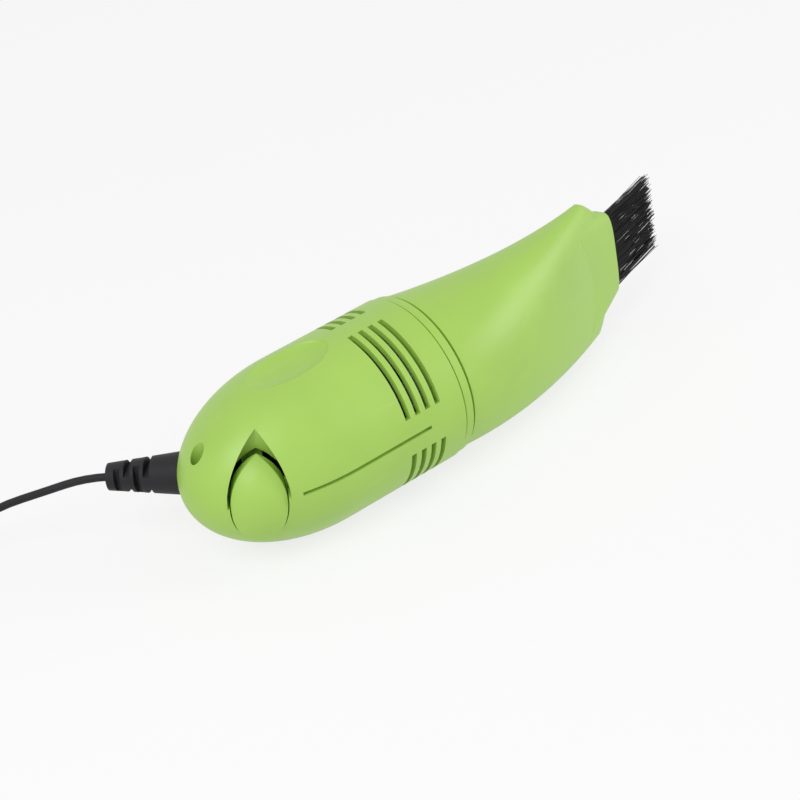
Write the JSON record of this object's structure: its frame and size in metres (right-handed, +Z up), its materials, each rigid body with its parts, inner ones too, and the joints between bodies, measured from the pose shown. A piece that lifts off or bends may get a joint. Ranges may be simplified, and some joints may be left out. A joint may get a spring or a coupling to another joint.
{
  "type": "mini vacuum cleaner",
  "caption": "Hand-held USB dust vacuum: round green housing with motor and fan, pull-off bill nozzle ending in a bristle brush, side push button, black cord with coil and USB plug.",
  "frame": {"origin": "a point of the narrow flat under the housing, on which the vacuum lies, below the body's axis and 12 mm behind its front end", "axes": "+X along the body's axis towards the nozzle, +Z up, the button on the -Y side, the cord and the droop of the nozzle on the +Y side"},
  "size_m": [0.28, 0.0836, 0.0428],
  "materials": {
    "housing_green": "satin",
    "button_green": "satin",
    "nozzle_green": "satin",
    "brush_green": "satin",
    "bristle_black": "matte",
    "black_rubber": "matte",
    "plated_steel": "plated",
    "contact_brass": "polished",
    "tongue_white": "satin",
    "grid_white": "satin",
    "filter_cloth": "felted",
    "cap_black": "matte",
    "magnet_grey": "matte",
    "armature_iron": "wound with copper wire",
    "lead_red": "satin"
  },
  "bodies": {
    "housing": {"left_shell": "housing_green", "right_shell": "housing_green", "switch_body": "cap_black", "switch_terminals": "contact_brass", "housing_screw": "plated_steel", "filter_grid": "grid_white", "filter": "filter_cloth", "motor_mount": "cap_black", "motor_can": "plated_steel", "motor_screws": "plated_steel", "front_bush": "contact_brass", "motor_end_cap": "cap_black", "motor_terminals": "contact_brass", "rear_bush": "contact_brass", "motor_magnets": "magnet_grey", "strain_relief": "black_rubber", "lead_in": "lead_red", "lead_return": "black_rubber", "lead_switched": "lead_red", "cord": "black_rubber", "cord_coil": "black_rubber", "cord_tail": "black_rubber", "usb_grip": "black_rubber", "usb_shell": "plated_steel", "usb_tongue": "tongue_white", "usb_contacts": "contact_brass"},
    "nozzle": {"nozzle": "nozzle_green"},
    "brush": {"brush_holder": "brush_green", "bristles": "bristle_black"},
    "rotor": {"motor_shaft": "plated_steel", "armature": "armature_iron", "commutator": "contact_brass", "fan_wheel": "cap_black"},
    "button": {"power_button": "button_green", "switch_plunger": "tongue_white"}
  },
  "joints": [
    {"name": "nozzle_pull", "type": "slide", "parent": "housing", "child": "nozzle", "axis": [1, 0, 0], "range_m": [0, 0.02]},
    {"name": "brush_pull", "type": "slide", "parent": "nozzle", "child": "brush", "axis": [0.9455, 0.3256, 0], "range_m": [0, 0.02]},
    {"name": "fan_spin", "type": "hinge", "parent": "housing", "child": "rotor", "pos_m": [0, 0, 0.02132], "axis": [1, 0, 0], "continuous": true},
    {"name": "button_press", "type": "slide", "parent": "housing", "child": "button", "axis": [0.5519, 0.8339, 0], "range_m": [0, 0.0015], "stiffness_N_per_m": 800}
  ]
}
